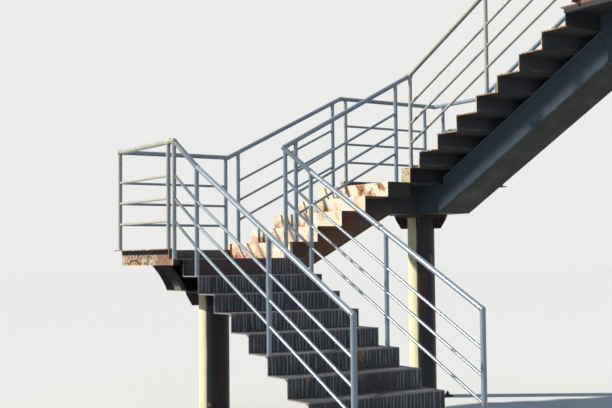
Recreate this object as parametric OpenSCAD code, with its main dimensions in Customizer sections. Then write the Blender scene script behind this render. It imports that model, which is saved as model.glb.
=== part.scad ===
// Quarter-turn steel fire escape stair: folded steps on box stringers, round columns, tube rails.
// Millimetres. Flight A climbs along +Y to landing 1, B along +X to landing 2, C along -Y to landing 3.
// The origin is the centre of column 1 at ground level.

/* [Steps] */
// Height of one riser
riser = 159; // [150:1:170]
// Going of one tread
going = 300; // [280:2:320]
// Risers in bottom flight A
risers_a = 10; // [8:1:12]
// Risers in middle flight B
risers_b = 5; // [5:1:6]
// Risers in top flight C
risers_c = 9; // [8:1:11]
// Width of flights A and C
width_ac = 1350; // [1200:10:1500]
// Width of flight B and depth of the landings
width_b = 1310; // [1200:10:1450]
// Thickness of the folded step and deck plate
plate = 10; // [8:1:14]
// How far the first riser of flights B and C stands inside the flight below
step_inset = 145; // [130:5:180]

/* [Stringers] */
// Width of the box stringers
box_w = 430; // [360:5:480]
// Plumb distance from the nosing line to the underside of a stringer
box_drop = 517; // [480:1:560]
// How deep the folds of the steps are let into the top of a stringer
box_seat = 6; // [4:1:20]
// Depth of the girder under landings 1 and 2, below the deck surface
girder_depth = 317; // [280:1:360]
// Depth of the girder under landing 3
girder_depth_top = 480; // [420:1:520]
// Length of the curved haunch at a girder end
haunch_len = 217; // [160:1:260]
// How far a girder end stands inside the outer face of the landing edge
haunch_in = 96; // [60:2:140]
// Base plate under the foot of flight A, length beyond the stringer
foot_margin = 60; // [40:5:90]
// Thickness of the foot plate
foot_plate = 15; // [10:1:25]

/* [Landing edges] */
// Width of the edge beam round a landing
edge_w = 55; // [45:1:70]
// Depth of the edge beam
edge_depth = 60; // [50:1:80]
// How far the outer face of the landing edge stands outside flights A and C
edge_out = 58; // [50:1:70]
// How far the far outer face stands inside flight B
edge_in = 45; // [30:1:60]
// Gap between the end of an edge beam and the flight below
beam_gap = 40; // [20:1:60]
// Height of the kerb above the deck
kerb_h = 95; // [80:1:120]
// Thickness of the kerb plates
kerb_t = 10; // [6:1:14]
// Width of the kerb's top flange, outside the web
kerb_flange = 60; // [50:1:75]
// Gap between a kerb end and the flight below
kerb_gap = 60; // [45:1:80]
// The same gap at the right of landing 2, under the railing of flight C
kerb_gap_r = 270; // [240:5:300]

/* [Columns] */
// Diameter of a column
column_d = 306; // [280:2:330]
// Side of the square head plate
head_w = 430; // [400:5:500]
// Thickness of the head plate
head_t = 25; // [16:1:35]
// Height of the gussets under the head plate
gusset_h = 130; // [90:5:180]
// Thickness of a gusset
gusset_t = 14; // [10:1:20]
// Side of the square base plate
base_w = 480; // [440:5:560]
// Thickness of the base plate
base_t = 25; // [16:1:35]
// Distance between anchor bolt holes
anchor_pitch = 390; // [370:2:420]
// Diameter of an anchor bolt hole
anchor_d = 26; // [18:1:32]

/* [Railings] */
// Height of the top rail over its foot
rail_h = 1005; // [950:5:1080]
// Height of the lowest of three mid rails
mid_low = 260; // [220:5:300]
// Distance between mid rails
mid_pitch = 214; // [190:2:225]
// Diameter of the top rail
top_d = 48; // [42:1:60]
// Diameter of a post
post_d = 42; // [34:1:46]
// Diameter of a mid rail
mid_d = 27; // [20:1:32]
// Distance of a post behind the nosing of its step
post_back = 112; // [90:2:140]
// The same for the middle posts of the left rail of flight A
post_back_left = 50; // [40:2:120]
// The same for the newels at the foot of the stair
newel_back = 72; // [60:2:120]
// Distance of a rail inside the ends of the steps
rail_in = 45; // [35:1:70]
// Distance of the far rail inside the ends of flight B
rail_in_b = 40; // [35:1:60]
// Distance of the landing rails outside flights A and C
rail_out = 75; // [70:1:90]
// Distance of the first post on a landing from the edge of the deck
post_in = 155; // [120:5:200]
// How much lower the rails run round landing 2
rail_dip = 38; // [0:1:60]
// Distance of the first inner post of flight B behind its nosing
start_back_b = 80; // [70:5:110]
// Distance of the last inner post of flight B behind the riser of landing 2
arrive_back = 155; // [140:5:200]
// Treads from one post to the next
post_step = 4; // [3:1:5]
// How much thicker the welded elbows are than the top rail
elbow_bead = 4; // [3:1:8]
// Distance past an elbow at which the next panel's top rail is welded on
weld_past = 60; // [50:2:80]

/* [Hidden] */
$fn = 48;
xa = width_ac / 2;                       // right edge of flight A
yb = width_b / 2;                        // far edge of flight B, landing 1 front is at -yb
z1 = risers_a * riser;                   // deck levels
z2 = z1 + risers_b * riser;
z3 = z2 + risers_c * riser;
xb1 = xa - step_inset;                   // first riser of flight B
xl2 = xb1 + (risers_b - 1) * going;      // riser onto landing 2
xc0 = xl2 + going;                       // left and right edges and axis of flight C
xc1 = xc0 + width_ac;
xc = (xc0 + xc1) / 2;
yc1 = -yb + step_inset;                  // first riser of flight C
yl3 = yc1 - (risers_c - 1) * going;      // riser onto landing 3
yend = yl3 - width_b;                    // exit edge of landing 3
ycol3 = yl3 - yb;                        // column 3
slope = riser / going;
face_l = xa + edge_out;                  // outer faces of the landing edges
face_f = yb - edge_in;
face_r = xc1 + edge_out;
face_l3 = xc0 - edge_out;
rail_l = xa + rail_out;                  // lines of the landing rails
rail_f = yb - rail_in_b;
rail_r = xc1 + rail_out;
rail_l3 = xc0 - rail_out;
top_1 = z1 + kerb_h + rail_h;            // top rails over landings 1 and 2
top_2 = z2 + kerb_h + rail_h - rail_dip;

function step_y(k) = -yb - going * (risers_a - k);   // riser k of flight A
function b_x(k) = xb1 + (k - 1) * going;             // riser k of flight B
function c_y(k) = yc1 - (k - 1) * going;             // riser k of flight C

STEPS_A = [for (k = [1 : risers_a - 1]) str("step_a", k)];
STEPS_B = [for (k = [1 : risers_b - 1]) str("step_b", k)];
STEPS_C = [for (k = [1 : risers_c - 1]) str("step_c", k)];

// Flight frames: u runs up the flight, v across it, z up, with riser 1 at u = 0 and the floor at z = 0.
module flight_a() { translate([0, step_y(1), 0]) rotate([0, 0, 90]) children(); }
module flight_b() { translate([xb1, 0, z1]) children(); }
module flight_c() { translate([xc, yc1, z2]) rotate([0, 0, -90]) children(); }

// A profile in the u-z plane, spread evenly over a width across the flight.
module across(w) { rotate([90, 0, 0]) linear_extrude(w, center = true) children(); }

// One folded step: riser plate and tread plate. The first step of B and C has closed ends on the deck.
module folded_step(k, w, closed = 0) {
    u = (k - 1) * going;
    z = k * riser;
    union() {
        across(w) polygon([[u, z - riser], [u + plate, z - riser], [u + plate, z - plate],
            [u + going + plate, z - plate], [u + going + plate, z], [u, z]]);
        if (closed > 0)
            for (s = [-1, 1]) translate([u, s * (w - plate) / 2 - plate / 2, z - riser])
                cube([closed, plate, riser - plate / 2]);
    }
}

// Top edge of a stringer under steps 1 to n: a sloping plate, notched where the folds of the steps sit.
function seat_line(n, from) = [for (k = [1 : n - 1], p = [0, 1, 2])
    let (u = (k - 1) * going + plate, z0 = (k - 1) * riser - plate + box_seat, u0 = max(u, from))
    k == 1 && p == 0 ? [u0, z0 + (u0 - u) * slope]
    : p == 0 ? [u, z0]
    : p == 1 ? [u + going - box_seat / slope, k * riser - plate]
    : [u + going, k * riser - plate]];

// Where the sloping underside reaches a level z: the nosing line less the plumb drop.
function under(z) = (z + box_drop - riser) / slope;

// Curved haunch from (u0, z_hi) down to (u0 + len, z_lo), steeper towards its lower end.
function haunch(u0, len, z_hi, z_lo, n = 12) = [for (i = [0 : n])
    let (t = i / n) [u0 + len * t * (1.5 - t / 2), z_hi + (z_lo - z_hi) * t]];

module stringer_a() color("#3c4450") flight_a() union() {
    n = risers_a;
    top = z1;
    across(box_w) polygon(concat(
        seat_line(n, plate + (foot_plate + plate - box_seat) / slope),
        [[(n - 1) * going + plate, top - riser - plate + box_seat],
         [(n - 1) * going + plate, top - plate],
         [(n - 1) * going + yb - box_w / 2, top - plate],
         [(n - 1) * going + yb - box_w / 2, top - girder_depth],
         [under(top - girder_depth), top - girder_depth],
         [under(foot_plate), foot_plate]]));
    difference() {
        translate([plate, -box_w / 2 - foot_margin, 0])
            cube([under(foot_plate) + foot_margin - plate, box_w + 2 * foot_margin, foot_plate]);
        for (u = [foot_hole_u, under(foot_plate) - foot_hole_u + plate], s = [-1, 1])
            translate([u, s * (box_w / 2 + foot_margin / 2), -1]) cylinder(d = foot_hole_d, h = foot_plate + 2);
    }
}
foot_hole_u = 100;                       // first pair of foot holes behind riser 1
foot_hole_d = 22;

module stringer_b() color("#5a4038") flight_b() across(box_w) polygon(concat(
    haunch(end_b, haunch_len, -plate, -girder_depth),
    [[under(-girder_depth), -girder_depth], [under(z2 - z1 - girder_depth), z2 - z1 - girder_depth],
     [xc - box_w / 2 - xb1, z2 - z1 - girder_depth], [xc - box_w / 2 - xb1, z2 - z1 - plate],
     [xl2 + plate - xb1, z2 - z1 - plate],
     [xl2 + plate - xb1, z2 - z1 - riser - plate + box_seat]],
    reverse_list(seat_line(risers_b, step_inset)),
    [[step_inset, -plate]]));
end_b = haunch_in - face_l - xb1;        // upper ends of the haunches in their flight frames
end_c = haunch_in + yc1 - face_f;

module stringer_c() color("#2e3640") flight_c() across(box_w) polygon(concat(
    haunch(end_c, haunch_len, -plate, -girder_depth),
    [[under(-girder_depth), -girder_depth], [under(z3 - z2 - girder_depth_top), z3 - z2 - girder_depth_top]],
    reverse_list([for (p = haunch(haunch_in, haunch_len, -plate, -girder_depth_top))
        [yc1 - yend - p[0], z3 - z2 + p[1]]]),
    [[yc1 - yl3 + plate, z3 - z2 - plate],
     [yc1 - yl3 + plate, z3 - z2 - riser - plate + box_seat]],
    reverse_list(seat_line(risers_c, step_inset)),
    [[step_inset, -plate]]));

function reverse_list(l) = [for (i = [len(l) - 1 : -1 : 0]) l[i]];

module box(a, b) { translate(a) cube(b - a); }

// Landing decks: plate, the riser plate that closes the flight below, and the edge beams.
module deck_1() color("#4a3634") union() {
    box([-face_l, -yb, z1 - plate], [xa, face_f, z1]);
    box([-xa, -yb, z1 - riser], [xa, -yb + plate, z1 - plate / 2]);
    box([-face_l, -yb + beam_gap, z1 - edge_depth], [-face_l + edge_w, face_f, z1]);
    box([-face_l, face_f - edge_w, z1 - edge_depth], [xa, face_f, z1]);
    // seat of the last post of the left rail
    translate([-rail_l, -yb + post_a, z1 - edge_depth]) translate([-seat_w / 2, -seat_w / 2, 0])
        cube([seat_w + rail_out - edge_out, seat_w, edge_depth]);
}
seat_w = 46;
post_a = 35;                             // that post from the front of the landing

module deck_2() color("#50403a") union() {
    box([xl2, -yb, z2 - plate], [face_r, face_f, z2]);
    box([xl2, -yb, z2 - riser], [xl2 + plate, yb, z2 - plate / 2]);
    box([xl2, -yb, z2 - riser], [xc0, -yb + plate, z2 - plate / 2]);
    box([xl2, face_f - edge_w, z2 - edge_depth], [face_r, face_f, z2]);
    box([face_r - edge_w, -yb + kerb_gap_r - 15, z2 - edge_depth], [face_r, face_f, z2]);
    box([xl2, face_f - plate, z2 - plate], [xl2 + plate, yb, z2]);
}

module deck_3() color("#3a3c40") union() {
    box([face_l3, yend, z3 - plate], [face_r, yl3, z3]);
    box([xc0, yl3 - plate, z3 - riser], [xc1, yl3, z3 - plate / 2]);
    box([face_l3, yend, z3 - edge_depth], [face_l3 + edge_w, yl3 - beam_gap, z3]);
    box([face_r - edge_w, yend, z3 - edge_depth], [face_r, yl3 - beam_gap, z3]);
    box([face_l3, yend, z3 - edge_depth], [face_r, yend + edge_w, z3]);
}

// Kerb: a web flush with the outer face of the deck and a flange outwards on top, closed at the ends.
// This one has its outer face at x = 0 towards -X and stands on z = 0.
module kerb(y0, y1, past_end = 0) {
    box([0, y0, 0], [kerb_t, y1, kerb_h]);
    box([-kerb_flange, y0, kerb_h - kerb_t], [kerb_t, y1 + past_end, kerb_h]);
    box([-kerb_flange, y0, 0], [kerb_t, y0 + kerb_t, kerb_h]);
    if (past_end == 0) box([-kerb_flange, y1 - kerb_t, 0], [kerb_t, y1, kerb_h]);
}
// The same round a far corner, then length l towards +X.
module kerb_corner(y0, y1, l) {
    kerb(y0, y1, kerb_flange);
    box([0, y1 - kerb_t, 0], [l, y1, kerb_h]);
    box([-kerb_flange, y1 - kerb_t, kerb_h - kerb_t], [l, y1 + kerb_flange, kerb_h]);
    box([l - kerb_t, y1 - kerb_t, 0], [l, y1 + kerb_flange, kerb_h]);
}
module kerb_1() color("#c9bda0") translate([-face_l, 0, z1]) union()
    kerb_corner(-yb + kerb_gap, face_f, face_l + xb1 - kerb_t);
module kerb_2() color("#c9bda0") translate([face_r, 0, z2]) mirror([1, 0, 0]) union()
    kerb_corner(-yb + kerb_gap_r, face_f, face_r - kerb_start_2);
module kerb_3_left() color("#c9bda0") translate([face_l3, 0, z3]) union() kerb(yend, kerb_start_3);
module kerb_3_right() color("#c9bda0") translate([face_r, 0, z3]) mirror([1, 0, 0]) union()
    kerb(yend, kerb_start_3);
kerb_start_2 = xc0 + 20;                 // far kerb of landing 2, right of the rail of flight B
kerb_start_3 = yl3 - 190;                // kerbs of landing 3, past the last posts of flight C

// Columns stand on square base plates with four anchor holes.
module column(p, top) {
    translate([p[0], p[1], 0]) union() {
        difference() {
            translate([-base_w / 2, -base_w / 2, 0]) cube([base_w, base_w, base_t]);
            for (i = [-1, 1], j = [-1, 1]) translate([i, j, 0] * anchor_pitch / 2)
                translate([0, 0, -1]) cylinder(d = anchor_d, h = base_t + 2);
        }
        translate([0, 0, base_t / 2]) cylinder(d = column_d, h = top - head_t - base_t / 2);
    }
}
// Head: square plate with tapered gussets to its corners.
module head(p, top) {
    translate([p[0], p[1], top - head_t]) union() {
        translate([-head_w / 2, -head_w / 2, 0]) cube([head_w, head_w, head_t]);
        difference() {
            for (a = [45 : 90 : 315]) rotate([0, 0, a]) across(gusset_t) polygon([
                [column_d / 2 - 20, -gusset_h], [column_d / 2 + gusset_toe, -gusset_h],
                [head_w / sqrt(2) - 12, -20], [head_w / sqrt(2) - 12, 1], [column_d / 2 - 20, 1]]);
            translate([0, 0, -gusset_h - 1]) cylinder(d = column_d, h = gusset_h + 1);
        }
    }
}
gusset_toe = 75;                         // lower end of a gusset beyond the column

module column_1() color("#3b3f45") column([0, 0], z1 - girder_depth);
module column_2() color("#3b3f45") column([xc, 0], z2 - girder_depth);
module column_3() color("#3b3f45") column([xc, ycol3], z3 - girder_depth_top);
module head_1() color("#33373c") head([0, 0], z1 - girder_depth);
module head_2() color("#33373c") head([xc, 0], z2 - girder_depth);
module head_3() color("#33373c") head([xc, ycol3], z3 - girder_depth_top);

// A tube between two points.
module tube(p, q, d) {
    v = q - p;
    translate(p) rotate([0, acos(v[2] / norm(v)), atan2(v[1], v[0])]) cylinder(d = d, h = norm(v));
}
// Top rail through the points, with a round welded elbow at each bend.
module top_rail(path) {
    for (i = [0 : len(path) - 2]) tube(path[i], path[i + 1], top_d);
    for (i = [1 : len(path) - 2]) translate(path[i]) sphere(d = top_d + elbow_bead);
}
// The point a little way past p towards q, where one panel is welded to the next.
function past(p, q) = p + (q - p) * weld_past / norm(q - p);

// A rail panel: posts given as [x, y, foot, lift], where lift raises the rails over the usual heights.
function rail_z(p, h) = p[2] + p[3] + h;
function at(p, h) = [p[0], p[1], rail_z(p, h)];
module post(p) { tube([p[0], p[1], p[2]], at(p, rail_h), post_d); }
module posts_and_mids(posts, first = 0) {
    for (i = [first : len(posts) - 1]) post(posts[i]);
    for (i = [0 : len(posts) - 2], m = [0 : 2]) let (h = mid_low + m * mid_pitch)
        tube(at(posts[i], h), at(posts[i + 1], h), mid_d);
}

// Posts of each panel, from the bottom of the stair upwards.
kerb_post = 45;                          // posts from the end of a kerb
corner_post = 160;                       // posts from the corner of landing 2
newel_in = 50;                           // inner rail of flight B inside the ends of its steps
inner_lift = 27;                         // and how much higher it runs than the others
function treads(n) = concat([1], reverse_list([for (k = [n - 1 : -post_step : 2]) k]));
// Lift a post so that its rails run straight from post q to post r.
function straight(p, q, r) = let (t = (p[1] - q[1]) / (r[1] - q[1]))
    [p[0], p[1], p[2], (q[2] + q[3]) * (1 - t) + (r[2] + r[3]) * t - p[2]];
function a_posts(x, back) = let (k = treads(risers_a), n = len(k) - 1,
    first = [x, step_y(1) + newel_back, riser, 0], top = [x, step_y(k[n]) + post_back, k[n] * riser, 0])
    concat([first], [for (i = [1 : n - 1]) straight([x, step_y(k[i]) + back, k[i] * riser, 0], first, top)],
        [top]);
PA_L = concat(a_posts(-xa + rail_in, post_back_left), [[-rail_l, -yb + post_a, z1, kerb_h]]);
PA_R = concat(a_posts(xa - rail_in, post_back), [[xb1 - rail_in, -yb + newel_in, z1, kerb_h]]);
P1_L = [[-rail_l, -yb + post_in, z1 + kerb_h, 0], [-rail_l, rail_f, z1 + kerb_h, 0]];
P1_F = [[-rail_l, rail_f, z1 + kerb_h, 0], [xb1 - rail_in, rail_f, z1 + kerb_h, 0]];
function lift_b(back) = inner_lift + (back - post_back) * slope;
PB_N = [[b_x(1) + start_back_b, -yb + newel_in, z1 + riser, lift_b(start_back_b)],
    [xl2 + arrive_back, -yb + newel_in, z2, lift_b(arrive_back)]];
PB_F = [[b_x(1) + post_back, rail_f, z1 + riser, 0], [xl2 + arrive_back + 25, rail_f, z2, 0]];
P2_F = [[kerb_start_2 + kerb_post, rail_f, z2 + kerb_h, -rail_dip],
    [rail_r - corner_post, rail_f, z2 + kerb_h, -rail_dip]];
P2_R = [[rail_r, rail_f - corner_post, z2 + kerb_h, -rail_dip],
    [rail_r, -yb + kerb_gap_r + kerb_post, z2 + kerb_h, -rail_dip]];
function c_posts(x) = concat([for (k = [1 : post_step : risers_c - 1]) [x, c_y(k) - post_back, z2 + k * riser, 0]],
    [[x, yl3 - post_back, z3, 0]]);
PC_N = c_posts(xc0 + rail_in);
PC_F = c_posts(xc1 - rail_in);
P3_L = [[rail_l3, kerb_start_3 - kerb_post, z3 + kerb_h, 0], [rail_l3, yend + kerb_post, z3 + kerb_h, 0]];
P3_R = [[rail_r, kerb_start_3 - kerb_post, z3 + kerb_h, 0], [rail_r, yend + kerb_post, z3 + kerb_h, 0]];

// Where sloping top rails meet: the line through two posts' tops, at a height or at an x.
function last(l) = l[len(l) - 1];
function along(p, q, t) = at(p, rail_h) + (at(q, rail_h) - at(p, rail_h)) * t;
function at_height(p, q, z) = along(p, q, (z - at(p, rail_h)[2]) / (at(q, rail_h)[2] - at(p, rail_h)[2]));
function at_x(p, q, x) = along(p, q, (x - p[0]) / (q[0] - p[0]));
function bottom(p) = [p[0], p[1], p[2]];
K1 = at_height(PB_F[0], PB_F[1], top_1);
K2 = at_height(PB_F[0], PB_F[1], top_2);
K3 = at_height(PC_F[0], PC_F[1], top_2);
J1 = at_x(PB_N[0], PB_N[1], last(PA_R)[0] - 22);
J2 = at_x(PB_N[0], PB_N[1], PC_N[0][0]);

function tops(l) = [for (p = l) at(p, rail_h)];
T3 = at(last(PA_L), rail_h);             // bends of the outer rail, going up
C1 = at(last(P1_L), rail_h);
C2 = [rail_r, rail_f, top_2];
T2R = [rail_r, -yb + post_in, top_2];
TCF = at(last(PC_F), rail_h);
TCN = at(last(PC_N), rail_h);

rail_paint = "#9fb0c0";
module rail_a_left() color(rail_paint) union() {
    posts_and_mids(PA_L, 1);
    top_rail([bottom(PA_L[0]), at(PA_L[0], rail_h), at(PA_L[len(PA_L) - 2], rail_h), T3, past(T3, C1)]);
}
module rail_1_left() color(rail_paint) union() {
    posts_and_mids(P1_L);
    top_rail([past(T3, C1), C1, past(C1, K1)]);
}
module rail_1_far() color(rail_paint) union() {
    difference() {
        posts_and_mids(P1_F, 1);
        post(P1_F[0]);
    }
    top_rail([past(C1, K1), K1, past(K1, K2)]);
}
module rail_b_far() color(rail_paint) union() {
    posts_and_mids(PB_F);
    top_rail([past(K1, K2), K2, past(K2, C2)]);
}
module rail_2_far() color(rail_paint) union() {
    posts_and_mids(P2_F);
    top_rail([past(K2, C2), C2, past(C2, T2R)]);
}
module rail_2_right() color(rail_paint) union() {
    posts_and_mids(P2_R);
    top_rail([past(C2, T2R), T2R, K3, past(K3, TCF)]);
}
module rail_c_far() color(rail_paint) union() {
    posts_and_mids(PC_F);
    top_rail([past(K3, TCF), TCF, past(TCF, at(P3_R[0], rail_h))]);
}
module rail_3_right() color(rail_paint) union() {
    posts_and_mids(P3_R);
    top_rail(concat([past(TCF, at(P3_R[0], rail_h))], tops(P3_R)));
}
module rail_a_right() color(rail_paint) union() {
    posts_and_mids(PA_R, 1);
    top_rail([bottom(PA_R[0]), at(PA_R[0], rail_h), at(PA_R[len(PA_R) - 2], rail_h), J1, past(J1, J2)]);
}
module rail_b_near() color(rail_paint) union() {
    posts_and_mids(PB_N);
    top_rail([past(J1, J2), past(J2, J1)]);
}
module rail_c_near() color(rail_paint) union() {
    posts_and_mids(PC_N);
    top_rail([past(J2, J1), J2, TCN, past(TCN, at(P3_L[0], rail_h))]);
}
module rail_3_left() color(rail_paint) union() {
    posts_and_mids(P3_L);
    top_rail(concat([past(TCN, at(P3_L[0], rail_h))], tops(P3_L)));
}

for (k = [1 : risers_a - 1]) color("#454b52") flight_a() folded_step(k, width_ac);
for (k = [1 : risers_b - 1]) color("#d8c7a4") flight_b() folded_step(k, width_b, k == 1 ? step_inset : 0);
for (k = [1 : risers_c - 1]) color("#2f3034") flight_c() folded_step(k, width_ac, k == 1 ? step_inset : 0);
stringer_a();
stringer_b();
stringer_c();
deck_1();
deck_2();
deck_3();
kerb_1();
kerb_2();
kerb_3_left();
kerb_3_right();
column_1();
column_2();
column_3();
head_1();
head_2();
head_3();
rail_a_left();
rail_a_right();
rail_1_left();
rail_1_far();
rail_b_near();
rail_b_far();
rail_2_far();
rail_2_right();
rail_c_near();
rail_c_far();
rail_3_left();
rail_3_right();
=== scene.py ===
"""Fire escape stair: worn paint, chequer plate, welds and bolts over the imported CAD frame. Metres."""
import math
import random

import bpy
from mathutils import Matrix, Vector


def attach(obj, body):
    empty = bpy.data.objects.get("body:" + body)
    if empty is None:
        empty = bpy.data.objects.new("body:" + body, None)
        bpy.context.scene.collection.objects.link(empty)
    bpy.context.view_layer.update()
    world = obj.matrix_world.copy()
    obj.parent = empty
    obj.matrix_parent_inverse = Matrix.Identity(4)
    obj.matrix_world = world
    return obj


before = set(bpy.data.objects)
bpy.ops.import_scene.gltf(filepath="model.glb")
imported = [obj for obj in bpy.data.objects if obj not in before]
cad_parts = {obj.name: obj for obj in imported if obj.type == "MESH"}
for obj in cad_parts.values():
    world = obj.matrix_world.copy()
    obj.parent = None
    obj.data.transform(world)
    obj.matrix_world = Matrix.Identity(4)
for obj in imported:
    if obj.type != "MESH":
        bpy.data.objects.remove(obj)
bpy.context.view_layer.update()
scene = bpy.context.scene
rng = random.Random(11)

# ---------------------------------------------------------------- driving dimensions, as in the CAD
RISER, GOING, PLATE, SEAT = 0.159, 0.300, 0.010, 0.006
SLOPE = RISER / GOING
RISERS_A, RISERS_B, RISERS_C = 10, 5, 9
WIDTH_AC, WIDTH_B, INSET = 1.350, 1.310, 0.145
BOX_W, BOX_DROP, GIRDER, GIRDER_TOP = 0.430, 0.517, 0.317, 0.480
HAUNCH_LEN, HAUNCH_IN, FOOT_MARGIN, FOOT_PLATE = 0.217, 0.096, 0.060, 0.015
EDGE_OUT, EDGE_IN, EDGE_DEPTH = 0.058, 0.045, 0.060
KERB, KERB_T, KERB_GAP, KERB_GAP_R = 0.095, 0.010, 0.060, 0.270
COLUMN_D, HEAD_W, HEAD_T, GUSSET_H, GUSSET_T = 0.306, 0.430, 0.025, 0.130, 0.014
BASE_T, PITCH = 0.025, 0.390
RAIL_H, MID_LOW, MID_PITCH = 1.005, 0.260, 0.214
TOP_D, POST_D, MID_D = 0.048, 0.042, 0.027
BACK, BACK_LEFT, NEWEL_BACK, RAIL_IN, RAIL_OUT, NEWEL_IN = 0.112, 0.050, 0.072, 0.045, 0.075, 0.050
START_B, ARRIVE_B, LIFT, DIP, PAST = 0.080, 0.155, 0.027, 0.038, 0.060
CHEQUE_PITCH, CHEQUE_LONG, CHEQUE_WIDE, CHEQUE_H = 0.030, 0.0125, 0.0042, 0.0017  # the two middle ones are halves

XA, YB = WIDTH_AC / 2, WIDTH_B / 2
Z1 = RISERS_A * RISER
Z2 = Z1 + RISERS_B * RISER
Z3 = Z2 + RISERS_C * RISER
XB1 = XA - INSET
XL2 = XB1 + (RISERS_B - 1) * GOING
XC0 = XL2 + GOING
XC1 = XC0 + WIDTH_AC
XC = (XC0 + XC1) / 2
YC1 = -YB + INSET
YL3 = YC1 - (RISERS_C - 1) * GOING
YEND = YL3 - WIDTH_B
YCOL3 = (YL3 + YEND) / 2
EDGE_L, EDGE_F, EDGE_R, EDGE_L3 = XA + EDGE_OUT, YB - EDGE_IN, XC1 + EDGE_OUT, XC0 - EDGE_OUT
RAIL_L, RAIL_F, RAIL_R, RAIL_L3 = XA + RAIL_OUT, YB - 0.040, XC1 + RAIL_OUT, XC0 - RAIL_OUT


# Directions as the photo shows them.
LEFT, NEAR, FAR, UP, DOWN = (-1, 0, 0), (0, -1, 0), (0, 1, 0), (0, 0, 1), (0, 0, -1)


def vec(x, y, z):
    return Vector((x, y, z))


# Where riser k of each flight stands.
def a_y(k):
    return -YB - GOING * (RISERS_A - k)


def b_x(k):
    return XB1 + (k - 1) * GOING


def c_y(k):
    return YC1 - (k - 1) * GOING


# Flight frames as in the CAD: u up the flight, v across it, z up from the level its first riser stands on.
def in_a(u, v, z):
    return vec(-v, a_y(1) + u, z)


def in_b(u, v, z):
    return vec(XB1 + u, v, Z1 + z)


def in_c(u, v, z):
    return vec(XC + v, YC1 - u, Z2 + z)


def under(z):
    """How far up a flight the underside of its box is at a height."""
    return (z + BOX_DROP - RISER) / SLOPE


def shown(name, data):
    obj = bpy.data.objects.new(name, data)
    scene.collection.objects.link(obj)
    return obj


# ---------------------------------------------------------------- camera, fitted to the step corners
YAW, TILT, ROLL = math.radians(56.68), math.radians(2.94), math.radians(-0.56)
EYE = vec(-5.268, -9.726, 1.569)
FOCAL_PX, FRAME_W = 1086.2, 612
ahead = vec(math.cos(YAW) * math.cos(TILT), math.sin(YAW) * math.cos(TILT), math.sin(TILT))
right = vec(math.sin(YAW), -math.cos(YAW), 0)
up = right.cross(ahead)
right, up = right * math.cos(ROLL) + up * math.sin(ROLL), up * math.cos(ROLL) - right * math.sin(ROLL)
lens = bpy.data.cameras.new("photo_camera")
lens.sensor_width, lens.lens = 36, FOCAL_PX / FRAME_W * 36
lens.clip_start, lens.clip_end = 0.1, 200
camera = shown("photo_camera", lens)
camera.matrix_world = Matrix([(right[i], up[i], -ahead[i], EYE[i]) for i in range(3)] + [(0, 0, 0, 1)])
scene.camera = camera


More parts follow.
